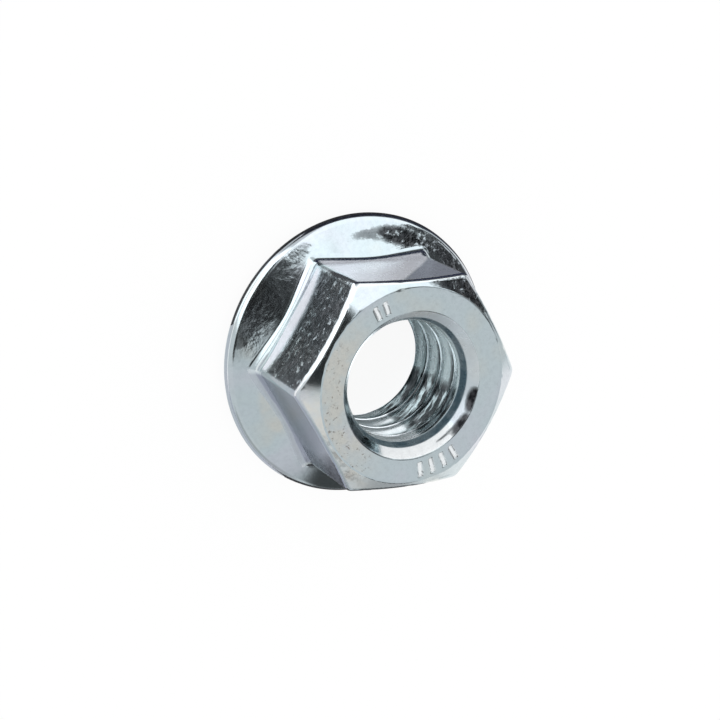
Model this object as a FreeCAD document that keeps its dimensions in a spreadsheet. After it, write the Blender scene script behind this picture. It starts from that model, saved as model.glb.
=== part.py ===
import FreeCAD, Part
import math
import os
import Sketcher

os.makedirs("parts", exist_ok=True)

# M10 hexagon nut with a flange and a serrated bearing face, all lengths in millimetres.
# The axis is Z, the bearing face lies in z = 0 and two corners of the hexagon lie on the X axis.
SIZES = [
    ("across_flats", 15.0, "width of the hexagon over two flats"),
    ("nut_height", 9.65, "bearing face to nose face"),
    ("corner_round", 0.55, "radius on the six upright corners"),
    ("nose_margin", 0.425, "from the round edge of the nose face out to the flats"),
    ("crown_slope", 30.0, "degrees between nose face and crown"),
    ("crown_round", 0.25, "radius where the crown meets the flats"),
    ("flange_overhang", 3.0, "from the flats out to the rim of the flange"),
    ("flange_slope", 25.0, "degrees between bearing face and flange top"),
    ("rim_radius", 0.65, "round outer rim of the flange"),
    ("rim_margin", 0.75, "from the edge of the bearing face out to the rim"),
    ("rim_bevel", 45.0, "degrees between bearing face and lower bevel"),
    ("root_radius", 1.0, "hollow round between flats and flange top"),
    ("bore_diameter", 8.67, "minor diameter of the M10 thread"),
    ("sink_width", 1.0, "width of the countersink at the nose face"),
    ("sink_angle", 75.0, "degrees between opposite sides of that countersink"),
    ("lower_sink_width", 1.2, "width of the countersink at the bearing face"),
    ("lower_sink_depth", 1.9, "depth of the countersink at the bearing face"),
    ("ring_width", 1.35, "plain bearing ring between lower countersink and teeth"),
    ("tooth_count", 24, "ratchet teeth on the bearing face"),
    ("tooth_inner_depth", 0.06, "depth of a gap where it begins"),
    ("tooth_outer_depth", 0.42, "depth of a gap outside the rim"),
    ("tooth_share", 0.82, "share of the pitch taken by the gap"),
    ("cut_clearance", 0.5, "how far a cut starts outside the solid"),
]

SIDES = 6
FULL_TURN = 360.0
ON_SURFACE = 0.001

doc = FreeCAD.newDocument("flange_nut")
sheet = doc.addObject("Spreadsheet::Sheet", "dims")
for row, (alias, value, meaning) in enumerate(SIZES, start=1):
    sheet.set("A%d" % row, meaning)
    sheet.set("B%d" % row, str(value))
    sheet.setAlias("B%d" % row, alias)
size = {alias: float(value) for alias, value, _ in SIZES}
doc.recompute()

body = doc.addObject("PartDesign::Body", "nut_body")
body.Label = "flange_nut"

flat_x = size["across_flats"] / 2
corner_x = size["across_flats"] / math.sqrt(3)
top_z = size["nut_height"]


def origin_part(role):
    for feature in body.Origin.OriginFeatures:
        if feature.Role == role:
            return feature
    raise RuntimeError("the origin has no " + role)


def new_sketch(name, role):
    sketch = body.newObject("Sketcher::SketchObject", name)
    sketch.AttachmentSupport = (origin_part(role), [""])
    sketch.MapMode = "FlatFace"
    return sketch


def raise_sketch(sketch, height, formula):
    sketch.AttachmentOffset = FreeCAD.Placement(FreeCAD.Vector(0, 0, height), FreeCAD.Rotation())
    sketch.setExpression("AttachmentOffset.Base.z", formula)


def add_line(sketch, start, end):
    return sketch.addGeometry(Part.LineSegment(FreeCAD.Vector(*start, 0), FreeCAD.Vector(*end, 0)), False)


def closed_loop(sketch, points):
    lines = [add_line(sketch, start, end) for start, end in zip(points, points[1:] + points[:1])]
    for this, following in zip(lines, lines[1:] + lines[:1]):
        sketch.addConstraint(Sketcher.Constraint("Coincident", this, 2, following, 1))
    return lines


def bind(sketch, name, constraint, formula):
    number = sketch.addConstraint(constraint)
    sketch.renameConstraint(number, name)
    sketch.setExpression("Constraints." + name, formula)


def turn_about_axis(feature, profile):
    feature.Profile = profile
    feature.ReferenceAxis = (profile, ["V_Axis"])
    feature.Angle = FULL_TURN
    doc.recompute()


def edges_where(feature, wanted):
    names = []
    for number, edge in enumerate(feature.Shape.Edges, start=1):
        point = edge.valueAt((edge.FirstParameter + edge.LastParameter) / 2)
        straight = edge.Curve.TypeId == "Part::GeomLine"
        if wanted(math.hypot(point.x, point.y), point.z, straight):
            names.append("Edge%d" % number)
    return names


def round_edges(name, base, edges, radius_alias):
    fillet = body.newObject("PartDesign::Fillet", name)
    fillet.Base = (base, edges)
    fillet.setExpression("Radius", "dims." + radius_alias)
    doc.recompute()
    return fillet


# Hexagonal prism with rounded corners
hexagon = new_sketch("hexagon", "XY_Plane")
turns = [math.radians(FULL_TURN / SIDES * k) for k in range(SIDES)]
sides = closed_loop(hexagon, [(corner_x * math.cos(turn), corner_x * math.sin(turn)) for turn in turns])
guide = hexagon.addGeometry(Part.Circle(FreeCAD.Vector(0, 0, 0), FreeCAD.Vector(0, 0, 1), corner_x), True)
hexagon.addConstraint(Sketcher.Constraint("Coincident", guide, 3, -1, 1))
for side in sides:
    hexagon.addConstraint(Sketcher.Constraint("PointOnObject", side, 1, guide))
for side in sides[1:]:
    hexagon.addConstraint(Sketcher.Constraint("Equal", sides[0], side))
hexagon.addConstraint(Sketcher.Constraint("PointOnObject", sides[0], 1, -1))
bind(hexagon, "flat", Sketcher.Constraint("Distance", -1, 1, sides[1], flat_x), "dims.across_flats / 2")
prism = body.newObject("PartDesign::Pad", "prism")
prism.Profile = hexagon
prism.setExpression("Length", "dims.nut_height")
doc.recompute()
upright = edges_where(prism, lambda r, z, straight: abs(r - corner_x) < ON_SURFACE)
corners = round_edges("corners", prism, upright, "corner_round")

# Crown: the cone that leaves a round nose face
crown_profile = new_sketch("crown_profile", "XZ_Plane")
crown_slope = math.radians(size["crown_slope"])
nose_x = flat_x - size["nose_margin"]
reach = corner_x + size["cut_clearance"]
drop = (reach - nose_x) * math.tan(crown_slope)
cone, outside, lid = closed_loop(crown_profile, [(nose_x, top_z), (reach, top_z - drop), (reach, top_z)])
crown_profile.addConstraint(Sketcher.Constraint("Vertical", outside))
crown_profile.addConstraint(Sketcher.Constraint("Horizontal", lid))
bind(crown_profile, "nose", Sketcher.Constraint("DistanceX", -1, 1, cone, 1, nose_x),
     "dims.across_flats / 2 - dims.nose_margin")
bind(crown_profile, "reach", Sketcher.Constraint("DistanceX", -1, 1, cone, 2, reach),
     "dims.across_flats / sqrt(3) + dims.cut_clearance")
bind(crown_profile, "top", Sketcher.Constraint("DistanceY", -1, 1, cone, 1, top_z), "dims.nut_height")
bind(crown_profile, "slope", Sketcher.Constraint("Angle", cone, -crown_slope), "dims.crown_slope * -1deg")
crown = body.newObject("PartDesign::Groove", "crown")
turn_about_axis(crown, crown_profile)

# Flange: bearing face, lower bevel, round rim and sloping top, turned about the axis
flange_profile = new_sketch("flange_profile", "XZ_Plane")
bevel = math.radians(size["rim_bevel"])
slope = math.radians(size["flange_slope"])
rim = size["rim_radius"]
flange_x = flat_x + size["flange_overhang"]
bearing_x = flange_x - size["rim_margin"]
rim_x = flange_x - rim
rim_z = (rim_x - bearing_x) * math.tan(bevel) + rim / math.cos(bevel)
low = (rim_x + rim * math.sin(bevel), rim_z - rim * math.cos(bevel))
high = (rim_x + rim * math.sin(slope), rim_z + rim * math.cos(slope))
peak_z = high[1] + high[0] * math.tan(slope)

face_line = add_line(flange_profile, (0, 0), (bearing_x, 0))
bevel_line = add_line(flange_profile, (bearing_x, 0), low)
rim_circle = Part.Circle(FreeCAD.Vector(rim_x, rim_z, 0), FreeCAD.Vector(0, 0, 1), rim)
rim_part = Part.ArcOfCircle(rim_circle, bevel - math.pi / 2, math.pi / 2 - slope)
rim_arc = flange_profile.addGeometry(rim_part, False)
top_line = add_line(flange_profile, high, (0, peak_z))
axis_line = add_line(flange_profile, (0, peak_z), (0, 0))
flange_profile.addConstraint(Sketcher.Constraint("Coincident", face_line, 1, -1, 1))
flange_profile.addConstraint(Sketcher.Constraint("Horizontal", face_line))
flange_profile.addConstraint(Sketcher.Constraint("Coincident", face_line, 2, bevel_line, 1))
flange_profile.addConstraint(Sketcher.Constraint("Tangent", bevel_line, 2, rim_arc, 1))
flange_profile.addConstraint(Sketcher.Constraint("Tangent", rim_arc, 2, top_line, 1))
flange_profile.addConstraint(Sketcher.Constraint("Coincident", top_line, 2, axis_line, 1))
flange_profile.addConstraint(Sketcher.Constraint("Coincident", axis_line, 2, -1, 1))
flange_profile.addConstraint(Sketcher.Constraint("Vertical", axis_line))
bind(flange_profile, "bearing", Sketcher.Constraint("Distance", face_line, bearing_x),
     "dims.across_flats / 2 + dims.flange_overhang - dims.rim_margin")
bind(flange_profile, "rim", Sketcher.Constraint("Radius", rim_arc, rim), "dims.rim_radius")
bind(flange_profile, "rim_centre", Sketcher.Constraint("DistanceX", -1, 1, rim_arc, 3, rim_x),
     "dims.across_flats / 2 + dims.flange_overhang - dims.rim_radius")
bind(flange_profile, "bevel", Sketcher.Constraint("Angle", bevel_line, bevel), "dims.rim_bevel * 1deg")
bind(flange_profile, "slope", Sketcher.Constraint("Angle", top_line, math.pi - slope),
     "180deg - dims.flange_slope * 1deg")
flange = body.newObject("PartDesign::Revolution", "flange")
turn_about_axis(flange, flange_profile)


# Hollow round at the foot of the hexagon, then a soft edge where the crown meets the flats
def on_flange_top(r, z, straight):
    cone_z = peak_z - r * math.tan(slope)
    return r < corner_x and abs(z - cone_z) < ON_SURFACE and not straight


def on_crown(r, z, straight):
    cone_z = top_z - (r - nose_x) * math.tan(crown_slope)
    return r > nose_x + ON_SURFACE and abs(z - cone_z) < ON_SURFACE and not straight


root = round_edges("root", flange, edges_where(flange, on_flange_top), "root_radius")
soft_crown = round_edges("soft_crown", root, edges_where(root, on_crown), "crown_round")

# Bore at the thread's minor diameter, countersunk at both ends
bore_centre = new_sketch("bore_centre", "XY_Plane")
raise_sketch(bore_centre, top_z, "dims.nut_height")
bore_x = size["bore_diameter"] / 2
bore_circle = Part.Circle(FreeCAD.Vector(0, 0, 0), FreeCAD.Vector(0, 0, 1), bore_x)
bore_ring = bore_centre.addGeometry(bore_circle, False)
bore_centre.addConstraint(Sketcher.Constraint("Coincident", bore_ring, 3, -1, 1))
bind(bore_centre, "bore", Sketcher.Constraint("Diameter", bore_ring, 2 * bore_x), "dims.bore_diameter")
doc.recompute()
bore = body.newObject("PartDesign::Hole", "bore")
bore.Profile = bore_centre
bore.Threaded = False
bore.ThreadType = "None"
bore.DepthType = "ThroughAll"
bore.HoleCutType = "Countersink"
bore.setExpression("Diameter", "dims.bore_diameter")
bore.setExpression("HoleCutDiameter", "dims.bore_diameter + 2 * dims.sink_width")
bore.setExpression("HoleCutCountersinkAngle", "dims.sink_angle")
doc.recompute()

mouth = edges_where(bore, lambda r, z, straight: abs(r - bore_x) < ON_SURFACE and abs(z) < ON_SURFACE)
lower_sink = body.newObject("PartDesign::Chamfer", "lower_sink")
lower_sink.Base = (bore, mouth)
lower_sink.ChamferType = "Two distances"
lower_sink.setExpression("Size", "dims.lower_sink_depth")
lower_sink.setExpression("Size2", "dims.lower_sink_width")
doc.recompute()


# Section of a gap between two teeth: an upright wall that bites when the nut is loosened, then a ramp
def gap_section(name, radius, radius_formula, depth_alias):
    sketch = new_sketch(name, "YZ_Plane")
    raise_sketch(sketch, radius, radius_formula)
    depth = size[depth_alias]
    width = size["tooth_share"] * 2 * math.pi * radius / size["tooth_count"]
    under = size["cut_clearance"]
    floor, far_side, ramp, wall = closed_loop(sketch, [(0, -under), (width, -under), (width, 0), (0, depth)])
    sketch.addConstraint(Sketcher.Constraint("Horizontal", floor))
    sketch.addConstraint(Sketcher.Constraint("Vertical", far_side))
    sketch.addConstraint(Sketcher.Constraint("Vertical", wall))
    sketch.addConstraint(Sketcher.Constraint("PointOnObject", far_side, 2, -1))
    sketch.addConstraint(Sketcher.Constraint("PointOnObject", floor, 1, -2))
    bind(sketch, "width", Sketcher.Constraint("DistanceX", floor, 1, floor, 2, width),
         "dims.tooth_share * 2 * pi * (%s) / dims.tooth_count" % radius_formula)
    bind(sketch, "under", Sketcher.Constraint("DistanceY", far_side, 1, far_side, 2, under),
         "dims.cut_clearance")
    bind(sketch, "depth", Sketcher.Constraint("DistanceY", -1, 1, ramp, 2, depth), "dims." + depth_alias)
    return sketch


inner_section = gap_section("inner_section", bore_x + size["lower_sink_width"] + size["ring_width"],
                            "dims.bore_diameter / 2 + dims.lower_sink_width + dims.ring_width",
                            "tooth_inner_depth")
outer_section = gap_section("outer_section", flange_x + size["cut_clearance"],
                            "dims.across_flats / 2 + dims.flange_overhang + dims.cut_clearance",
                            "tooth_outer_depth")
gap = body.newObject("PartDesign::SubtractiveLoft", "gap")
gap.Profile = inner_section
gap.Sections = [outer_section]
gap.Ruled = True
doc.recompute()

# Ring of gaps, which leaves the ratchet teeth
serration = body.newObject("PartDesign::PolarPattern", "serration")
serration.Originals = [gap]
serration.Axis = (origin_part("Z_Axis"), [""])
serration.Angle = FULL_TURN
body.Tip = serration
serration.setExpression("Occurrences", "dims.tooth_count")
doc.recompute()

for item in doc.Objects:
    if "Invalid" in item.State or "Error" in item.State:
        raise RuntimeError("%s does not build: %s" % (item.Name, item.State))
    if item.isDerivedFrom("PartDesign::Feature") and (item.Shape.isNull() or not item.Shape.isValid()):
        raise RuntimeError("%s has no valid shape" % item.Name)
if len(body.Shape.Solids) != 1:
    raise RuntimeError("the nut is %d solids" % len(body.Shape.Solids))
body.Shape.exportStep("parts/%s.step" % body.Label)
print("%s: volume %.1f cubic millimetres, %d faces" % (body.Label, body.Shape.Volume, len(body.Shape.Faces)))
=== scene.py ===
import math

import bpy
import numpy as np
from mathutils import Matrix, Vector, noise


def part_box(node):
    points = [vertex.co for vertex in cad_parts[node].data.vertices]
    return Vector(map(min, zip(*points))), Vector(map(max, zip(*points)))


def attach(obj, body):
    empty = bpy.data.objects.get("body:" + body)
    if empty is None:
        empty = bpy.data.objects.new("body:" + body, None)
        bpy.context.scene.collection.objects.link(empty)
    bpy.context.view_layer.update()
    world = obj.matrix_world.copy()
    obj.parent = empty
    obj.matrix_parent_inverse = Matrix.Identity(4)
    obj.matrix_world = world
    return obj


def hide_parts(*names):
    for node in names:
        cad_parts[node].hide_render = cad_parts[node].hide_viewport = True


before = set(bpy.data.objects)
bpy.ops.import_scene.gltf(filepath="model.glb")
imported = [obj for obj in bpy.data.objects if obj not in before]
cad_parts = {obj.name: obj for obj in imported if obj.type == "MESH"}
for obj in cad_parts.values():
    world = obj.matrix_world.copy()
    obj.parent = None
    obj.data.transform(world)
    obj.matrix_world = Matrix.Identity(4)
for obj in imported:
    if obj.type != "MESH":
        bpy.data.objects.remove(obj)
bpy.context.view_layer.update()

# Sizes are in millimetres and directions round the axis in degrees. Other angles are turned to radians.
MM = 0.001
box_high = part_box("flange_nut")[1]
TOP = box_high.z / MM
FLANGE_R = box_high.x / MM
FLAT = 7.5
CORNER_ROUND = 0.55
NOSE_MARGIN = 0.425
CROWN_SLOPE = math.radians(30.0)
CROWN_ROUND = 0.36
NOSE_ROUND = 0.25
FLANGE_SLOPE = math.radians(25.0)
RIM_RADIUS = 0.65
RIM_MARGIN = 0.75
BEVEL = math.radians(45.0)
ROOT_RADIUS = 1.0
ROOT_NARROWER = 0.5
BORE_R = 4.335
SINK = 1.0
LOWER_SINK = 1.2
LOWER_SINK_DEPTH = 1.9
EDGE_ROUND = 0.07
LIP_DROP = 0.3 * EDGE_ROUND

# Mouth of the bore at the nose face: a cone, then a steeper wall where the thread begins
CONE_WIDTH = 0.64
CONE_DEPTH = 0.81
ENTRY_WIDTH = 0.21
ENTRY_DEPTH = 0.50

# Thread of an M10 nut, with its turns as far apart as the photograph shows them
THREAD_R = 5.0
PITCH = 2.0
GROOVE_HALF = 0.86
THREAD_ROOT = 0.12
CREST_SOFT = 0.7
CREST_Z = 1.85
CREST_ANGLE = math.radians(242.0)
THREAD_FADE = 1.1

# Ratchet teeth on the bearing face, outside a plain ring. The gaps' depth is given at the ring and past the
# rim, the ramp takes TOOTH_SHARE of each tooth, and the steep wall beside it is twice WALL_HALF wide.
TEETH = 24
PLAIN_RING = 1.35
TOOTH_INNER = 0.06
TOOTH_OUTER = 0.42
PAST_RIM = 0.5
TOOTH_SHARE = 0.82
WALL_HALF = math.radians(0.03)

# Places that follow from these sizes
NOSE_R = FLAT - NOSE_MARGIN
SINK_R = BORE_R + SINK
LOWER_SINK_R = BORE_R + LOWER_SINK
ENTRY_Z = TOP - CONE_DEPTH - ENTRY_DEPTH
THREAD_LOW_Z = (LOWER_SINK_R - THREAD_R) * LOWER_SINK_DEPTH / LOWER_SINK
TEETH_START = LOWER_SINK_R + PLAIN_RING
TOOTH_REACH = FLANGE_R + PAST_RIM
BEARING_R = FLANGE_R - RIM_MARGIN
RIM_X = FLANGE_R - RIM_RADIUS
RIM_Z = (RIM_X - BEARING_R) * math.tan(BEVEL) + RIM_RADIUS / math.cos(BEVEL)
LOW_R = RIM_X + RIM_RADIUS * math.sin(BEVEL)
HIGH_R = RIM_X + RIM_RADIUS * math.sin(FLANGE_SLOPE)
HIGH_Z = RIM_Z + RIM_RADIUS * math.cos(FLANGE_SLOPE)
SIXTH = math.pi / 3
ARC_CENTRE = (FLAT - CORNER_ROUND) / math.cos(SIXTH / 2)
ARC_END = math.atan2(CORNER_ROUND / 2, ARC_CENTRE + CORNER_ROUND * math.cos(SIXTH / 2))

# The surface is a closed grid: columns round the axis, and rows in bands from the bearing face over the rim,
# the flats and the nose face, and down through the bore
COLUMNS = 360
PER_TOOTH = COLUMNS // TEETH
PER_FLAT = COLUMNS // 6
ON_TOOTH_CREST = 4
ON_CORNER = 6
BESIDE_CORNER = np.radians([0.5, 1.2, 2.1])
RING_GAP = 0.02
ROWS = {
    "ring": 4, "teeth": 9, "bevel": 7, "rim": 12, "slope": 18, "hollow": 11, "flat": 46, "crown_edge": 6,
    "crown": 8, "nose_edge": 4, "nose": 29, "sink": 7, "entry": 6, "thread": 103, "lower_sink": 5,
}


def smooth(t):
    return t * t * (3 - 2 * t)


def falloff(value, start, end):
    """1 below start, 0 above end, and soft between them."""
    return 1 - smooth(np.clip((value - start) / (end - start), 0, 1))


def rise(value, start, end):
    """0 below start, 1 above end, and soft between them."""
    return smooth(np.clip((value - start) / (end - start), 0, 1))


def toothed_angles():
    """Column angles with two close together at each steep wall of the teeth."""
    pitch = 2 * math.pi / TEETH
    ramp = np.linspace(WALL_HALF, TOOTH_SHARE * pitch, PER_TOOTH + 1 - ON_TOOTH_CREST)
    crest = np.linspace(TOOTH_SHARE * pitch, pitch - WALL_HALF, ON_TOOTH_CREST)[1:]
    return np.concatenate([np.concatenate([ramp, crest]) + k * pitch for k in range(TEETH)])


def gathered_angles():
    """Column angles gathered at the rounded corners of the hexagon."""
    near = np.linspace(0, ARC_END, ON_CORNER)
    middle = ARC_END + BESIDE_CORNER
    far = np.linspace(middle[-1], SIXTH / 2, PER_FLAT // 2 + 2 - len(near) - len(middle))[1:]
    half = np.concatenate([near, middle, far])
    return np.concatenate([np.concatenate([half, SIXTH - half[-2:0:-1]]) + k * SIXTH for k in range(6)])


EVEN = np.arange(COLUMNS) * 2 * math.pi / COLUMNS
TOOTHED = toothed_angles()
GATHERED = gathered_angles()


def columns(toothed=0.0, gathered=0.0):
    """Column angles: even ones, or moved part of the way to the toothed or gathered ones."""
    return EVEN + toothed * (TOOTHED - EVEN) + gathered * (GATHERED - EVEN)


def wall_radius(angle):
    """Distance from the axis to the side of the hexagon, with its rounded corners."""
    off = np.mod(angle, SIXTH)
    off = np.where(off > SIXTH / 2, SIXTH - off, off)
    corner = ARC_CENTRE * np.cos(off)
    corner = corner + np.sqrt(np.maximum(CORNER_ROUND ** 2 - (ARC_CENTRE * np.sin(off)) ** 2, 0))
    return np.where(off < ARC_END, corner, FLAT / np.cos(SIXTH / 2 - off))


def slope_height(r):
    return HIGH_Z - (r - HIGH_R) * math.tan(FLANGE_SLOPE)


def gap_height(r, angle):
    """How far the bearing face is cut away between two teeth."""
    pitch = 2 * math.pi / TEETH
    along = np.mod(angle, pitch) / (TOOTH_SHARE * pitch)
    depth = TOOTH_INNER + (TOOTH_OUTER - TOOTH_INNER) * (r - TEETH_START) / (TOOTH_REACH - TEETH_START)
    return np.where(along < 1, depth * (1 - along), 0.0)


def thread_radius(z, angle):
    """The tapped wall: soft crests at the bore's radius, roots at the thread's outer radius."""
    turn = np.mod((z - CREST_Z) / PITCH - (angle - CREST_ANGLE) / (2 * math.pi), 1.0)
    off = np.abs(turn - 0.5) * PITCH
    cut = np.clip((GROOVE_HALF - off) / (GROOVE_HALF - THREAD_ROOT), 0, 1)
    soft = CREST_SOFT * smooth(cut) + (1 - CREST_SOFT) * cut
    return BORE_R + (THREAD_R - BORE_R) * soft * rise(ENTRY_Z - z, 0, THREAD_FADE)


def bore_radius(z, angle):
    """The two countersinks, with the tapped wall between them."""
    depths = [0, CONE_DEPTH, CONE_DEPTH + ENTRY_DEPTH, CONE_DEPTH + ENTRY_DEPTH + ENTRY_WIDTH]
    widths = [SINK_R, SINK_R - CONE_WIDTH, SINK_R - CONE_WIDTH - ENTRY_WIDTH, BORE_R]
    upper = np.interp(TOP - z, depths, widths)
    lower = LOWER_SINK_R - z * LOWER_SINK / LOWER_SINK_DEPTH
    return np.maximum(thread_radius(z, angle), max(upper, lower))


def root_radius(angle):
    """Radius of the hollow round at the foot of the flats: widest at the corners."""
    from_middle = np.abs(np.mod(angle, SIXTH) - SIXTH / 2) / (SIXTH / 2)
    return ROOT_RADIUS - ROOT_NARROWER * smooth(1 - from_middle)


def hollow_height(angle):
    """Height of the hollow round's centre at the foot of the flats."""
    root = root_radius(angle)
    return slope_height(wall_radius(angle) + root) + root / math.cos(FLANGE_SLOPE)


def crown_height(angle):
    """Height of the centre of the round where the crown meets the flats."""
    r = wall_radius(angle) - CROWN_ROUND
    return TOP - (r - NOSE_R) * math.tan(CROWN_SLOPE) - CROWN_ROUND / math.cos(CROWN_SLOPE)


rows = []


def add_row(angle, r, z, region):
    """One ring of the surface. r and z are numbers, or arrays with a value for each column."""
    rows.append((angle, np.broadcast_to(r, COLUMNS), np.broadcast_to(z, COLUMNS), region))


def steps(band, first=0, last=0):
    """Even shares from 0 to 1 for the rows of a band, without some of the first or last ones."""
    return np.linspace(0, 1, ROWS[band])[first:ROWS[band] - last]


def add_bore(region, upper_z, lower_z, first=0):
    """Rows of the bore's wall from one height down to another."""
    for t in steps(region, first):
        z = upper_z + t * (lower_z - upper_z)
        add_row(EVEN, bore_radius(z, EVEN), z, region)


# Bearing face: plain ring, teeth, then the bevel under the rim
ring_inner = LOWER_SINK_R + EDGE_ROUND
ring_outer = TEETH_START - RING_GAP
for t in steps("ring"):
    add_row(columns(toothed=smooth(t)), ring_inner + t * (ring_outer - ring_inner), 0.0, "bearing")
for t in steps("teeth"):
    r = TEETH_START + t * (BEARING_R - TEETH_START)
    add_row(TOOTHED, r, gap_height(r, TOOTHED), "bearing")
for t in steps("bevel", first=1):
    r = BEARING_R + t * (LOW_R - BEARING_R)
    add_row(TOOTHED, r, np.maximum(gap_height(r, TOOTHED), (r - BEARING_R) * math.tan(BEVEL)), "bearing")

# Round rim and the flange's slope
for t in steps("rim", first=1):
    turn = -BEVEL + t * (BEVEL + math.pi / 2 - FLANGE_SLOPE)
    r = RIM_X + RIM_RADIUS * math.cos(turn)
    add_row(columns(toothed=1 - smooth(t)), r, RIM_Z + RIM_RADIUS * math.sin(turn), "rim")
for t in steps("slope", first=1, last=1):
    angle = columns(gathered=smooth(t))
    foot = wall_radius(angle) + root_radius(angle) * (1 - math.sin(FLANGE_SLOPE))
    r = HIGH_R + t * (foot - HIGH_R)
    add_row(angle, r, slope_height(r), "slope")

# Hollow round at the foot of the flats, the flats, the crown's round and the crown
wall = wall_radius(GATHERED)
root = root_radius(GATHERED)
flat_low = hollow_height(GATHERED)
flat_high = crown_height(GATHERED)
for t in steps("hollow"):
    turn = FLANGE_SLOPE + t * (math.pi / 2 - FLANGE_SLOPE)
    add_row(GATHERED, wall + root * (1 - math.sin(turn)), flat_low - root * math.cos(turn), "hollow")
for t in steps("flat", first=1, last=1):
    add_row(GATHERED, wall, flat_low + t * (flat_high - flat_low), "flat")
for t in steps("crown_edge"):
    turn = t * (math.pi / 2 - CROWN_SLOPE)
    r = wall - CROWN_ROUND * (1 - math.cos(turn))
    add_row(GATHERED, r, flat_high + CROWN_ROUND * math.sin(turn), "edge")
nose_back = NOSE_ROUND * math.tan(CROWN_SLOPE / 2)
crown_start = wall - CROWN_ROUND * (1 - math.sin(CROWN_SLOPE))
crown_end = np.minimum(NOSE_R + nose_back * math.cos(CROWN_SLOPE), crown_start)
for t in steps("crown", first=1):
    r = crown_start + t * (crown_end - crown_start)
    add_row(GATHERED, r, TOP - (r - NOSE_R) * math.tan(CROWN_SLOPE), "crown")

# Nose face inside a small round
nose_outer = NOSE_R - nose_back
nose_inner = SINK_R + EDGE_ROUND
for t in steps("nose_edge", first=1):
    turn = CROWN_SLOPE * (1 - t)
    r = nose_outer + NOSE_ROUND * math.sin(turn)
    add_row(GATHERED, r, TOP - NOSE_ROUND * (1 - math.cos(turn)), "edge")
for t in steps("nose", first=1):
    angle = columns(gathered=falloff(t, 0, 0.5))
    add_row(angle, nose_outer + t * (nose_inner - nose_outer), TOP, "nose")

# Countersinks and the tapped wall between them
add_row(EVEN, SINK_R, TOP - LIP_DROP, "lip")
add_bore("sink", TOP - EDGE_ROUND, TOP - CONE_DEPTH + EDGE_ROUND)
add_bore("entry", TOP - CONE_DEPTH, ENTRY_Z)
add_bore("thread", ENTRY_Z, THREAD_LOW_Z, first=1)
add_bore("lower_sink", THREAD_LOW_Z, EDGE_ROUND, first=1)
add_row(EVEN, LOWER_SINK_R, LIP_DROP, "lower_sink")

angles = np.array([row[0] for row in rows])
radii = np.array([row[1] for row in rows])
heights = np.array([row[2] for row in rows])
regions = np.array([row[3] for row in rows])
points = np.stack([radii * np.cos(angles), radii * np.sin(angles), heights], axis=-1)
across = np.roll(points, -1, axis=1) - np.roll(points, 1, axis=1)
along = np.roll(points, -1, axis=0) - np.roll(points, 1, axis=0)
normals = np.cross(across, along)
TINY = 1e-9
normals /= np.maximum(np.linalg.norm(normals, axis=-1, keepdims=True), TINY)

# Place of each point on the hexagon. Side k looks towards 60 k + 30 degrees.
CORNER_FADE = (0.8, 2.5)
degrees = np.mod(np.degrees(angles) + 180, 360) - 180
side = np.floor(np.mod(angles, 2 * math.pi) / SIXTH).astype(int) % 6
from_corner = np.degrees(np.minimum(np.mod(angles, SIXTH), SIXTH - np.mod(angles, SIXTH)))
from_middle = 1 - np.minimum(from_corner / 30, 1)
inside_side = rise(from_corner, *CORNER_FADE)
above_foot = heights - hollow_height(angles)
above_slope = heights - slope_height(radii)


def in_region(*names):
    """1 on the rows of the named regions, 0 elsewhere."""
    return np.broadcast_to(np.isin(regions, names)[:, None], angles.shape).astype(float)


def on_side(number, region):
    """1 on one of the six sides of a region, with soft ends at the corners."""
    return in_region(region) * (side == number) * inside_side


def turned_off(centre):
    """Angle in degrees between each point and a direction round the axis."""
    return np.abs(np.mod(np.degrees(angles) - centre + 180, 360) - 180)


def sector(region, centre, half_width, soft_end):
    """1 on a region within half_width of a direction, 0 past soft_end, in degrees."""
    return in_region(region) * falloff(turned_off(centre), half_width, soft_end)


# A patch is whole up to a share of its half sizes, and gone a little outside them
PATCH_WHOLE = 0.55
PATCH_END = 1.15


def patches(*table):
    """Soft-edged patches: region, direction, half width in degrees, distance, half depth and strength."""
    masks = []
    for region, direction, half_width, distance, half_depth, strength in table:
        away = np.hypot(turned_off(direction) / half_width, (radii - distance) / half_depth)
        masks.append(strength * falloff(away, PATCH_WHOLE, PATCH_END) * in_region(region))
    return np.maximum.reduce(masks)


def strongest(*weighted):
    """The largest of several masks at each point. Each comes with its weight."""
    return np.maximum.reduce([weight * mask for weight, mask in weighted])


# Forging skin: where the surface is hammered. Side 0 has it above a pale band at its foot.
BAND_ENDS = 0.1
BAND_MIDDLE = 0.8
BAND_SOFT = 0.9
band = BAND_ENDS + BAND_MIDDLE * (1 - from_middle ** 2)
hammered_flat = on_side(0, "flat") * rise(above_foot, band, band + BAND_SOFT)
pale_band = on_side(0, "flat") * falloff(above_foot, band, band + BAND_SOFT)
rough = np.maximum(hammered_flat, patches(
    ("slope", -48, 19, 9.2, 0.8, 1.0),
    ("slope", -35, 16, 9.15, 0.48, 0.7),
    ("slope", -53, 8, 10.15, 0.35, 0.9),
    ("slope", -73, 12, 9.7, 0.8, 0.6),
    ("slope", 30, 24, 9.0, 1.1, 0.3),
    ("slope", 4, 8, 9.7, 0.5, 0.5),
    ("slope", 205, 22, 9.0, 0.8, 0.4),
    ("crown", -60, 26, 7.6, 0.9, 1.0),
    ("crown", 100, 25, 7.5, 0.8, 0.35),
    ("flat", 113, 9, 8.1, 0.6, 0.6),
    ("sink", 201, 13, 5.22, 0.30, 0.15),
    ("sink", 190, 15, 5.02, 0.10, 0.13),
    ("sink", 222, 13, 5.2, 0.38, 0.15),
    ("sink", 100, 20, 5.1, 0.5, 0.085),
))

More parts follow.
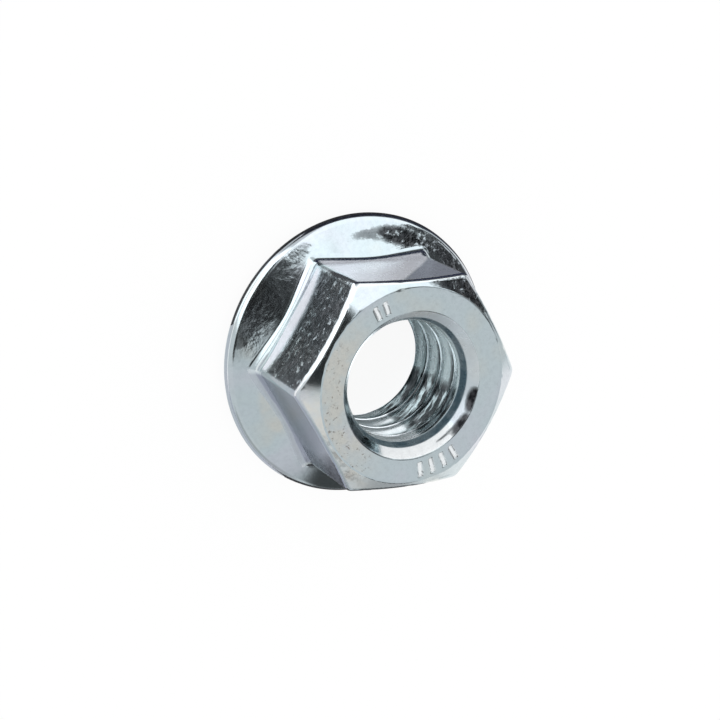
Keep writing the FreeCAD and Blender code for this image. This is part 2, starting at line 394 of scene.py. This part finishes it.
# Dark forging skin and painted shade. Skin lies on the rough patches, in the countersink and on the hammered
# side 0, where painted dark reflection deepens it. Also where the surface is smooth, painted dark reflection
# lies on the flange between two directions and on part of the rim, and painted shade on one side of the
# countersink's lip, in the roots and on a dark stretch of the thread
FLANGE_SHADE_START = (7, 11)
FLANGE_SHADE_DISTANCES = (8.2, 9.7)
FLANGE_SHADE_ENDS = (33, 52)
FLANGE_SHADE_SOFT = 1.5
RIM_SHADE_HEIGHTS = (-0.25, -0.1)
ROOT_DEPTHS = (0.3, 0.6)
ROOT_SHADE = 0.9
SINK_SKIN = 7
# Painted dark reflection on the flange's slope, between two directions, its end widening outwards
flange_shade_end = np.interp(radii, FLANGE_SHADE_DISTANCES, FLANGE_SHADE_ENDS)
flange_painted_shade = rise(degrees, *FLANGE_SHADE_START) * falloff(degrees, flange_shade_end - FLANGE_SHADE_SOFT, flange_shade_end + FLANGE_SHADE_SOFT)
# Painted shade in the deeper part of the thread's grooves
root_painted_shade = ROOT_SHADE * in_region("thread") * rise(radii - BORE_R, *ROOT_DEPTHS)
skin_and_shade = strongest(
    (0.66, flange_painted_shade * in_region("slope")),
    # skin on the hammered side 0, deepened by painted dark reflection
    (0.92, hammered_flat),
    # painted dark reflection on part of the rim
    (0.62, sector("rim", -25, 32, 42) * falloff(heights - HIGH_Z, *RIM_SHADE_HEIGHTS)),
    (1, np.clip(SINK_SKIN * in_region("sink") * rough, 0, 1)),
    # painted shade on one side of the countersink's lip
    (0.6, sector("lip", 130, 70, 90)),
    (1, root_painted_shade),
    # painted shade on a dark stretch of the thread
    (0.95, sector("thread", 198, 22, 34)),
    (0.97, rough * in_region("slope", "crown")),
    (0.6, rough * on_side(1, "flat")),
)

# Duller plate, less so under the dark skin and painted shade
SATIN_LOST = 0.8
UPPER_FOOT = (0.15, 0.3)
pale_sink = sector("sink", 160, 31, 40)
dull_sink = sector("sink", 275, 70, 90)
pale_thread = sector("thread", 140, 27, 35) * (1 - root_painted_shade)
upper_foot = on_side(5, "hollow") * rise(above_slope, *UPPER_FOOT)
satin = (1 - SATIN_LOST * skin_and_shade) * strongest(
    (1, on_side(5, "flat")),
    (0.7, on_side(1, "flat")),
    (1.5, pale_band),
    (0.1, in_region("nose")),
    (1.7, pale_sink),
    (1, dull_sink),
    (0.3, pale_thread),
    (0.5, in_region("thread")),
    (1, in_region("entry")),
    (0.65, sector("crown", 112, 48, 60)),
    (0.8, in_region("hollow") * (side == 1)),
)
satin = np.maximum(satin, upper_foot)

# Tints of painted reflection and shade. Side 5 is painted mauve at one end and pale lilac at the other, with
# a leaning border between them.
SIDE_5_DIRECTION = -30
MAUVE_START = -4.7
MAUVE_LEAN = 0.92
MAUVE_SOFT = 0.2
SLATE_FOOT = 0.12
TEAL_HEIGHTS = (1.5, 4.5)
NOSE_EDGE = 0.15
along_side = FLAT * np.tan(np.radians(degrees - SIDE_5_DIRECTION))
mauve_end = MAUVE_START + MAUVE_LEAN * above_foot
mauve = on_side(5, "flat") * falloff(along_side, mauve_end - MAUVE_SOFT, mauve_end + MAUVE_SOFT)
# Painted pale lilac reflection on side 5, on the pale band at the foot of side 0 and on the upper foot of
# side 5
painted_lilac_reflection = np.maximum.reduce([on_side(5, "flat") * (1 - mauve), pale_band, upper_foot])
# Painted slate reflection on side 1 and its hollow, with the mauve end of side 5 and the dull part of the
# countersink
painted_slate_reflection = strongest(
    (1, on_side(1, "flat")),
    (0.45, on_side(1, "hollow")),
    (0.9, on_side(1, "hollow") * (above_slope > SLATE_FOOT)),
    (1, mauve),
    (0.25, dull_sink),
)
# Painted dark teal shade on the ring where the thread begins and low on side 1
painted_teal_shade = strongest(
    (1, in_region("entry")),
    (0.55, on_side(1, "flat") * falloff(above_foot, *TEAL_HEIGHTS)),
)
# Painted highlights: a little on the rim, on the crown's edge near side 0, and on the pale parts of the
# countersink and thread
painted_highlight = strongest(
    (0.2, in_region("rim")),
    (1, sector("edge", 0, 56, 64) * (radii > NOSE_R + NOSE_EDGE)),
    (1, pale_sink),
    (1, pale_thread),
)
# Wear: pits on the nose face, and a warm tone in places
worn = strongest(
    (1, patches(("nose", 82, 40, 6.4, 1.9, 1.0), ("nose", 40, 14, 6.4, 1.9, 0.5))),
    (0.08, in_region("nose")),
)
warm = patches(
    ("nose", 66, 60, 6.4, 2.4, 1.0),
    ("slope", 84, 16, 8.2, 0.7, 0.8),
    ("crown", 90, 40, 7.6, 1.4, 0.9),
    ("flat", 110, 10, 7.8, 0.9, 0.6),
)


def relief(wanted, size, seed):
    """Smooth random relief, from about -1 to 1, at the wanted points."""
    field = np.zeros(angles.shape)
    shift = Vector((seed, 2 * seed, 3 * seed))
    for i, j in zip(*np.nonzero(wanted)):
        field[i, j] = noise.noise(Vector(points[i, j]) / size + shift)
    return field


# Relief: hammer marks, pits, long waves and nicks on the edges, each with its size and seed
HAMMER_FINE = (0.3, 5.1)
HAMMER_COARSE = (0.7, 1.7)
PITS = (0.34, 7.7)
WAVES = (2.2, 9.3)
NICKS = (0.45, 3.3)
HAMMER_DEPTH = 0.045
HAMMER_LEVEL = 0.6
COARSE_SHARE = 0.5
PIT_DEPTH = 0.07
PIT_LEVEL = 0.22
WORN_PITS = 0.8
WAVE_DEPTH = 0.010
WAVE_LEVEL = 0.5
NOSE_FLATTER = 0.75
NICK_DEPTH = 0.035
NICK_LEVEL = 0.1
outer = in_region("rim", "slope", "hollow", "flat", "crown", "nose")
hammer = relief(rough > 0, *HAMMER_FINE) + COARSE_SHARE * relief(rough > 0, *HAMMER_COARSE)
pits = np.clip(relief(rough + worn > 0, *PITS) - PIT_LEVEL, 0, 1)
waves = outer * (1 - NOSE_FLATTER * in_region("nose")) * (relief(outer > 0, *WAVES) - WAVE_LEVEL)
nicks = in_region("edge") * np.clip(relief(in_region("edge") > 0, *NICKS) - NICK_LEVEL, 0, 1)
depth = HAMMER_DEPTH * rough * (hammer - HAMMER_LEVEL)
depth += WAVE_DEPTH * waves
depth -= PIT_DEPTH * (rough + WORN_PITS * worn) * pits
depth -= NICK_DEPTH * nicks

# Stamped marks on the nose face: plain bars with painted shade on their edges and a pale, dull floor with a
# painted highlight
MARK_DEPTH = 0.11
MARK_HALF_WIDTH = 0.17
MARK_SIDE_SOFT = 0.08
MARK_END_SOFT = 0.06
MARK_EDGE_SHADE = 2.6
MARK_SATIN = 1.2
MARKS = [
    # directions, distance from the axis, half length outwards
    ((-8.4, -1.4), 6.18, 0.48),
    ((158.0, 166.5, 175.0, 183.5), 6.28, 0.55),
]
marks = np.zeros(angles.shape)
for directions, distance, half_length in MARKS:
    lengthwise = np.abs(radii - distance)
    bar_ends = falloff(lengthwise, half_length - MARK_END_SOFT, half_length + MARK_END_SOFT)
    for direction in directions:
        aside = np.radians(turned_off(direction)) * radii
        bar = falloff(aside, MARK_HALF_WIDTH - MARK_SIDE_SOFT, MARK_HALF_WIDTH + MARK_SIDE_SOFT) * bar_ends
        marks = np.maximum(marks, bar * in_region("nose"))
depth -= MARK_DEPTH * marks
# Painted shade along the bars' soft walls and a painted highlight on their floor
skin_and_shade = np.maximum(skin_and_shade, MARK_EDGE_SHADE * marks * (1 - marks))
painted_highlight = np.maximum(painted_highlight, marks)
satin = np.maximum(satin, MARK_SATIN * marks)

points = points + normals * depth[..., None]
points[..., 2] = np.clip(points[..., 2], 0, TOP)

index = np.arange(len(rows) * COLUMNS).reshape(len(rows), COLUMNS)
above = np.roll(index, -1, axis=0)
quads = np.stack([index, np.roll(index, -1, axis=1), np.roll(above, -1, axis=1), above], axis=-1)
mesh = bpy.data.meshes.new("nut_surface")
mesh.from_pydata((points.reshape(-1, 3) * MM).tolist(), [], quads.reshape(-1, 4).tolist())
mesh.shade_smooth()


def keep_on_mesh(data, name, values):
    layer = data.attributes.new(name, "FLOAT", "POINT")
    layer.data.foreach_set("value", values.reshape(-1).astype(np.float32))


MASKS = {
    "rough": rough,
    "skin_and_shade": skin_and_shade,
    "worn": worn,
    "warm": warm,
    "satin": satin,
    "painted_lilac_reflection": painted_lilac_reflection,
    "painted_slate_reflection": painted_slate_reflection,
    "painted_teal_shade": painted_teal_shade,
    "painted_highlight": painted_highlight,
    "inside": in_region("thread", "lower_sink") - pale_thread,
}
for name, values in MASKS.items():
    keep_on_mesh(mesh, name, values)
nut = bpy.data.objects.new("nut_surface", mesh)
bpy.context.scene.collection.objects.link(nut)


def math_node(tree, operation, first, second, clamp=False):
    node = tree.nodes.new("ShaderNodeMath")
    node.operation = operation
    node.use_clamp = clamp
    for socket, value in zip(node.inputs, (first, second)):
        if isinstance(value, bpy.types.NodeSocket):
            tree.links.new(value, socket)
        else:
            socket.default_value = value
    return node.outputs[0]


def multiply(tree, first, second, clamp=False):
    return math_node(tree, "MULTIPLY", first, second, clamp)


def one_minus(tree, value, clamp=False):
    return math_node(tree, "SUBTRACT", 1.0, value, clamp)


def noise_node(tree, place, scale, detail=2.0, roughness=0.5):
    node = tree.nodes.new("ShaderNodeTexNoise")
    node.inputs["Scale"].default_value = scale
    node.inputs["Detail"].default_value = detail
    node.inputs["Roughness"].default_value = roughness
    tree.links.new(place, node.inputs["Vector"])
    return node.outputs["Fac"]


def ramp_node(tree, value, stops):
    node = tree.nodes.new("ShaderNodeValToRGB")
    while len(node.color_ramp.elements) < len(stops):
        node.color_ramp.elements.new(0.5)
    for element, (position, colour) in zip(node.color_ramp.elements, stops):
        element.position = position
        element.color = (*colour, 1)
    tree.links.new(value, node.inputs["Fac"])
    return node.outputs["Color"]


def range_node(tree, value, low, high, least=0.0, most=1.0):
    """Turns the range from low to high into least to most, and stays within that."""
    node = tree.nodes.new("ShaderNodeMapRange")
    for name, number in (("From Min", low), ("From Max", high), ("To Min", least), ("To Max", most)):
        node.inputs[name].default_value = number
    tree.links.new(value, node.inputs["Value"])
    return node.outputs["Result"]


def speckle(tree, place, scale, detail, roughness, low, high, least=0.0, most=1.0):
    """Noise stretched between two of its levels."""
    return range_node(tree, noise_node(tree, place, scale, detail, roughness), low, high, least, most)


def mix_colour(tree, factor, first, second):
    node = tree.nodes.new("ShaderNodeMix")
    node.data_type = "RGBA"
    for name, value in (("Factor", factor), ("A", first), ("B", second)):
        socket = [s for s in node.inputs if s.name == name and s.enabled][0]
        if isinstance(value, bpy.types.NodeSocket):
            tree.links.new(value, socket)
        else:
            socket.default_value = (*value, 1)
    return [s for s in node.outputs if s.enabled][0]


def bump_node(tree, height, strength, distance, before=None):
    node = tree.nodes.new("ShaderNodeBump")
    node.inputs["Strength"].default_value = strength
    node.inputs["Distance"].default_value = distance
    tree.links.new(height, node.inputs["Height"])
    if before is not None:
        tree.links.new(before, node.inputs["Normal"])
    return node.outputs["Normal"]


def attribute(tree, name):
    node = tree.nodes.new("ShaderNodeAttribute")
    node.attribute_name = name
    return node.outputs["Fac"]


# Tones of the plate, of its tinted areas with painted reflection, highlight and shade, and of the skin,
# painted shade and pits on it
PLATE_TINTS = [
    (0.30, (0.74, 0.77, 0.75)),
    (0.44, (0.70, 0.77, 0.79)),
    (0.56, (0.71, 0.77, 0.80)),
    (0.70, (0.74, 0.76, 0.81)),
]
# The lilac and slate tones are painted reflections, the near-white one a painted highlight, and the bore's
# teal grey partly its own tint and partly painted shade
PAINTED_AREA_TONES = {
    "painted_lilac_reflection": (0.90, 0.92, 0.99),
    "painted_slate_reflection": (0.35, 0.38, 0.45),
    "painted_highlight": (0.93, 0.95, 0.96),
    "inside": (0.68, 0.79, 0.81),
}
WARM_TONE = (0.80, 0.77, 0.71)
# Near-black teal of the painted shade
TEAL_SHADE_TONE = (0.07, 0.12, 0.15)
GRAIN_TONE = (0.35, 0.37, 0.40)
# Dark tones of the forging skin, used also for the painted shade and dark reflection
SKIN_AND_SHADE_DARK = (0.010, 0.010, 0.012)
SKIN_AND_SHADE_LIGHT = (0.068, 0.068, 0.072)
PIT_TONE = (0.47, 0.42, 0.38)

# Texture: noise with its scale per metre, and the two levels of it that are stretched to least and most
FAINT_TINTS = dict(scale=300, detail=1.5)
BLOTCHES = dict(scale=900)
GRAIN = dict(scale=2800, detail=3.0, roughness=0.65, low=0.42, high=0.70, most=0.14)
SPECKS = dict(scale=2200, detail=4.0, roughness=0.7, low=0.57, high=0.65, most=0.8)
MOTTLE = dict(scale=1500, detail=3.5, roughness=0.6, low=0.42, high=0.60)
PITTING = dict(scale=3000, detail=3.0, roughness=0.65, low=0.60, high=0.66)
SHEEN = dict(scale=700, detail=3.0, roughness=0.5, low=0.3, high=0.7, least=0.08, most=0.15)
RAGGED = dict(scale=1900, detail=4.0, roughness=0.65)
STREAKS = dict(scale=5200, detail=3.0, roughness=0.6)
STREAK_STRETCH = (0.12, 0.12, 1.0)
ROUGH_BUMPS = dict(scale=3200, detail=2.5, roughness=0.6)
FINE_BUMPS = dict(scale=4200, detail=2.5, roughness=0.6)
RAGGED_REACH = 1.6
SATIN_METAL = 0.55
ROUGHER = {"rough": 0.10, "satin": 0.16, "inside": 0.08, "worn": 0.10}


def plate_colour(tree, place):
    """Blue-white plate with faint tints, its areas of painted reflection, highlight and shade, a painted teal
    shade and a fine grey grain.
    """
    tint = ramp_node(tree, noise_node(tree, place, **FAINT_TINTS), PLATE_TINTS)
    blotches = noise_node(tree, place, **BLOTCHES)
    warm_share = range_node(tree, blotches, low=0.35, high=0.6, least=0.35)
    colour = mix_colour(tree, multiply(tree, attribute(tree, "warm"), warm_share), tint, WARM_TONE)
    for name, tone in PAINTED_AREA_TONES.items():
        colour = mix_colour(tree, attribute(tree, name), colour, tone)
    teal_shade_share = range_node(tree, blotches, low=0.40, high=0.60, least=0.85)
    colour = mix_colour(tree, multiply(tree, attribute(tree, "painted_teal_shade"), teal_shade_share), colour, TEAL_SHADE_TONE)
    return mix_colour(tree, speckle(tree, place, **GRAIN), colour, GRAIN_TONE)


def skin_and_shade_share(tree, place, streaks):
    """Where the dark skin and the painted shade lie: ragged at their edges, speckled on rough metal and
    scratched in the bore.
    """
    skin_and_shade_mask = attribute(tree, "skin_and_shade")
    ragged = math_node(tree, "SUBTRACT", noise_node(tree, place, **RAGGED), 0.5)
    ragged = math_node(tree, "ADD", skin_and_shade_mask, multiply(tree, ragged, RAGGED_REACH))
    share = multiply(tree, skin_and_shade_mask, range_node(tree, ragged, low=0.25, high=0.5))
    specks = multiply(tree, speckle(tree, place, **SPECKS), attribute(tree, "rough"))
    share = multiply(tree, share, one_minus(tree, specks), clamp=True)
    scratches = range_node(tree, streaks, low=0.48, high=0.62, most=0.75)
    return multiply(tree, share, one_minus(tree, multiply(tree, attribute(tree, "inside"), scratches)))


def zinc_plate():
    """Blue-white passivated zinc plate: faint tints, dark forging skin, pits and tool marks, with painted
    shade, highlights and reflections in its colour.
    """
    material = bpy.data.materials.new("zinc_plate")
    material.use_nodes = True
    tree = material.node_tree
    shader = tree.nodes["Principled BSDF"]
    place = tree.nodes.new("ShaderNodeTexCoord").outputs["Object"]
    rough_mask = attribute(tree, "rough")
    worn_mask = attribute(tree, "worn")
    stretch = tree.nodes.new("ShaderNodeMapping")
    stretch.inputs["Scale"].default_value = STREAK_STRETCH
    tree.links.new(place, stretch.inputs["Vector"])
    streaks = noise_node(tree, stretch.outputs["Vector"], **STREAKS)
    pitted = speckle(tree, place, **PITTING)

    skin_and_shade_tone = mix_colour(tree, speckle(tree, place, **MOTTLE), SKIN_AND_SHADE_DARK, SKIN_AND_SHADE_LIGHT)
    colour = mix_colour(tree, skin_and_shade_share(tree, place, streaks), plate_colour(tree, place), skin_and_shade_tone)
    colour = mix_colour(tree, multiply(tree, pitted, worn_mask, clamp=True), colour, PIT_TONE)
    tree.links.new(colour, shader.inputs["Base Color"])
    dulled = multiply(tree, attribute(tree, "satin"), SATIN_METAL)
    tree.links.new(one_minus(tree, dulled, clamp=True), shader.inputs["Metallic"])

    roughness = speckle(tree, place, **SHEEN)
    for name, amount in ROUGHER.items():
        roughness = math_node(tree, "ADD", roughness, multiply(tree, attribute(tree, name), amount))
    tree.links.new(roughness, shader.inputs["Roughness"])

    bumps = multiply(tree, rough_mask, noise_node(tree, place, **ROUGH_BUMPS))
    holes = multiply(tree, worn_mask, pitted)
    scores = multiply(tree, attribute(tree, "inside"), streaks)
    fine = noise_node(tree, place, **FINE_BUMPS)
    normal = bump_node(tree, bumps, strength=0.9, distance=0.00009)
    normal = bump_node(tree, holes, strength=0.8, distance=-0.00004, before=normal)
    normal = bump_node(tree, scores, strength=0.8, distance=0.00005, before=normal)
    normal = bump_node(tree, fine, strength=0.5, distance=0.000004, before=normal)
    tree.links.new(normal, shader.inputs["Normal"])
    return material


mesh.materials.append(zinc_plate())
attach(nut, "root")
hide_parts("flange_nut")


def stage_mesh(name, vertices, faces, material):
    data = bpy.data.meshes.new(name)
    data.from_pydata(vertices, [], faces)
    data.materials.append(material)
    obj = bpy.data.objects.new(name, data)
    bpy.context.scene.collection.objects.link(obj)
    return obj


def only_in_reflections(obj):
    obj.visible_camera = False
    obj.visible_diffuse = False
    obj.visible_shadow = False
    obj.visible_transmission = False
    obj.visible_volume_scatter = False


def floor_white():
    """White to the camera and in reflections, and it keeps a soft shadow."""
    material = bpy.data.materials.new("floor_white")
    material.use_nodes = True
    tree = material.node_tree
    tree.nodes.clear()
    blend = tree.nodes.new("ShaderNodeMixShader")
    glow = tree.nodes.new("ShaderNodeEmission")
    matt = tree.nodes.new("ShaderNodeBsdfDiffuse")
    path = tree.nodes.new("ShaderNodeLightPath")
    glow.inputs["Color"].default_value = (1, 1, 1, 1)
    matt.inputs["Color"].default_value = FLOOR_TONE
    seen = math_node(tree, "MAXIMUM", path.outputs["Is Camera Ray"], path.outputs["Is Glossy Ray"])
    seen = math_node(tree, "MAXIMUM", seen, path.outputs["Is Transmission Ray"])
    tree.links.new(multiply(tree, seen, FLOOR_GLOW_SHARE), blend.inputs[0])
    tree.links.new(matt.outputs[0], blend.inputs[1])
    tree.links.new(glow.outputs[0], blend.inputs[2])
    tree.links.new(blend.outputs[0], tree.nodes.new("ShaderNodeOutputMaterial").inputs["Surface"])
    return material


def glowing(name, colour, strength):
    """A light of its own colour. The strength is a number or the name of an attribute of the mesh."""
    material = bpy.data.materials.new(name)
    material.use_nodes = True
    tree = material.node_tree
    tree.nodes.clear()
    emission = tree.nodes.new("ShaderNodeEmission")
    emission.inputs["Color"].default_value = (*colour, 1)
    if isinstance(strength, str):
        tree.links.new(attribute(tree, strength), emission.inputs["Strength"])
    else:
        emission.inputs["Strength"].default_value = strength
    tree.links.new(emission.outputs[0], tree.nodes.new("ShaderNodeOutputMaterial").inputs["Surface"])
    material.cycles.emission_sampling = "NONE"
    return material


# Floor, in metres
FLOOR_HALF = 2.0
FLOOR_TONE = (0.9, 0.9, 0.9, 1)
FLOOR_GLOW_SHARE = 0.92
floor_corners = [(x * FLOOR_HALF, y * FLOOR_HALF, 0) for x, y in ((-1, -1), (1, -1), (1, 1), (-1, 1))]
stage_mesh("floor", floor_corners, [(0, 1, 2, 3)], floor_white())

# Cards flat on the floor round the nut and in its bore, for the plated metal to mirror. The dark, grey, pale
# and corner cards next to the nut and the two dark cards in its bore are painted shadow of the floor there,
# and the white card in the bore is a painted glow where only shade falls
CARD_HEIGHT = 0.02
CARD_STEP = 3
CARDS = [
    # name, from and to in degrees round the axis, inner and outer radius, colour, level
    ("dark_card", -90, 44, 10.6, 13.4, (0.95, 0.93, 1.0), 0.08),
    ("navy_card", -90, -8, 13.4, 300, (0.7, 0.8, 1.3), 0.05),
    ("white_card", -8, 44, 13.4, 300, (0.95, 1.0, 1.04), 1.35),
    ("pale_card", 44, 120, 10.6, 17, (0.92, 0.96, 1.03), 0.62),
    ("slate_card", 80, 130, 17, 500, (0.9, 0.93, 1.12), 0.45),
    ("corner_card", 121, 178, 10.6, 16.9, (0.95, 0.95, 1.0), 0.07),
    ("corner_far_card", 131, 178, 17, 300, (0.95, 0.95, 1.0), 0.07),
    ("grey_card_left", 178, 215, 10.6, 13.6, (0.9, 0.95, 1.1), 0.32),
    ("grey_card_right", 215, 270, 10.6, 13.6, (0.95, 0.95, 1.0), 0.24),
    ("bore_card", 0, 360, 0.001, 2.9, (0.8, 0.97, 1.1), 0.18),
    ("bore_dark_card", 225, 508, 2.9, 5.3, (0.8, 0.97, 1.1), 0.18),
    ("bore_white_card", 148, 225, 2.9, 5.3, (0.95, 1.0, 1.04), 1.6),
]
for name, start, end, near, far, colour, level in CARDS:
    turns = np.radians(np.linspace(start, end, 2 + int((end - start) / CARD_STEP)))
    corners = [(r * math.cos(turn), r * math.sin(turn), CARD_HEIGHT) for turn in turns for r in (near, far)]
    vertices = [(x * MM, y * MM, z * MM) for x, y, z in corners]
    faces = [(2 * i, 2 * i + 1, 2 * i + 3, 2 * i + 2) for i in range(len(turns) - 1)]
    only_in_reflections(stage_mesh(name, vertices, faces, glowing(name, colour, level)))

# Studio dome: light and dark zones for the plated metal to mirror. Angles in degrees, the radius in metres.
DOME_RADIUS = 0.6
DOME_LEVEL = 0.65
DOME_COLOUR = (0.94, 1.0, 1.03)
ZONES = [
    # azimuth, elevation, half width, half height, soft edge, level
    (-60, 36, 29, 20, 2.5, 1.25),
    (-26, 57, 12, 9, 3, 1.3),
    (21, 27, 25, 31, 3, 1.6),
    (12, 70, 15, 6.5, 2.5, 0.12),
    (38, 60, 24, 6.5, 1.5, 0.03),
    (-108, 28, 15, 16, 3, 0.06),
    (-50, 3, 40, 9, 2, 0.06),
    (32, 8, 14, 4, 2, 0.6),
    (128, 18, 24, 12, 4, 0.44),
    (169, 18, 10.5, 16, 3, 0.06),
    (-108, 60, 10, 8, 4, 0.12),
]
DOME_COLUMNS = 240
DOME_ROWS = 110
DOME_LOW = math.radians(-8)
DOME_HIGH = math.pi / 2 - 0.002


def zone_level(direction):
    """Brightness of the dome in a direction, as the zones cover each other."""
    level = np.full(direction.shape[:-1], DOME_LEVEL)
    for azimuth, elevation, half_width, half_height, soft, strength in ZONES:
        around = Matrix.Rotation(math.radians(azimuth), 3, "Z")
        upwards = Matrix.Rotation(math.radians(-elevation), 3, "Y")
        local = direction @ np.array(around @ upwards)
        aside = np.abs(np.degrees(np.arctan2(local[..., 1], local[..., 0])))
        upward = np.abs(np.degrees(np.arcsin(np.clip(local[..., 2], -1, 1))))
        share = falloff(aside, half_width - soft, half_width + soft)
        share = share * falloff(upward, half_height - soft, half_height + soft)
        level = level + share * (strength - level)
    return level


climb = np.linspace(DOME_LOW, DOME_HIGH, DOME_ROWS)[:, None]
round_axis = np.arange(DOME_COLUMNS) * 2 * math.pi / DOME_COLUMNS
sideways = np.cos(climb)
dome_xyz = (sideways * np.cos(round_axis), sideways * np.sin(round_axis), np.sin(climb))
dome_points = np.stack(np.broadcast_arrays(*dome_xyz), axis=-1)
grid = np.arange(DOME_ROWS * DOME_COLUMNS).reshape(DOME_ROWS, DOME_COLUMNS)
beside = np.roll(grid, -1, axis=1)
dome_quads = np.stack([grid[:-1], grid[1:], beside[1:], beside[:-1]], axis=-1).reshape(-1, 4).tolist()
dome_vertices = (dome_points.reshape(-1, 3) * DOME_RADIUS).tolist()
dome_faces = dome_quads + [grid[-1].tolist()]
dome = stage_mesh("studio_dome", dome_vertices, dome_faces, glowing("studio_dome", DOME_COLOUR, "level"))
keep_on_mesh(dome.data, "level", zone_level(dome_points))
dome.data.shade_smooth()
only_in_reflections(dome)

# World: a plain white light
WORLD_LEVEL = 1.15
world = bpy.data.worlds.new("studio")
bpy.context.scene.world = world
world.use_nodes = True
background = world.node_tree.nodes["Background"]
background.inputs["Color"].default_value = (1, 1, 1, 1)
background.inputs["Strength"].default_value = WORLD_LEVEL
world.cycles.sampling_method = "NONE"

# Camera at the photograph's viewing angle. The sensor and the lens are in millimetres too.
CAMERA_PLACE = Vector((60.4833, 31.9364, 114.0637))
CAMERA_VIEW = Vector((-0.46119, -0.24082, -0.85399))
CAMERA_RIGHT = Vector((-0.41675, -0.79091, 0.44810))
SENSOR = 36.0
LENS = 90.32
camera_data = bpy.data.cameras.new("camera")
camera = bpy.data.objects.new("camera", camera_data)
bpy.context.scene.collection.objects.link(camera)
bpy.context.scene.camera = camera
view = CAMERA_VIEW.normalized()
up = CAMERA_RIGHT.cross(view).normalized()
right = view.cross(up)
camera.matrix_world = Matrix.Translation(CAMERA_PLACE * MM) @ Matrix((right, up, -view)).transposed().to_4x4()
camera_data.sensor_width = SENSOR
camera_data.lens = LENS
camera_data.clip_start = MM

bpy.context.scene.view_settings.view_transform = "Standard"
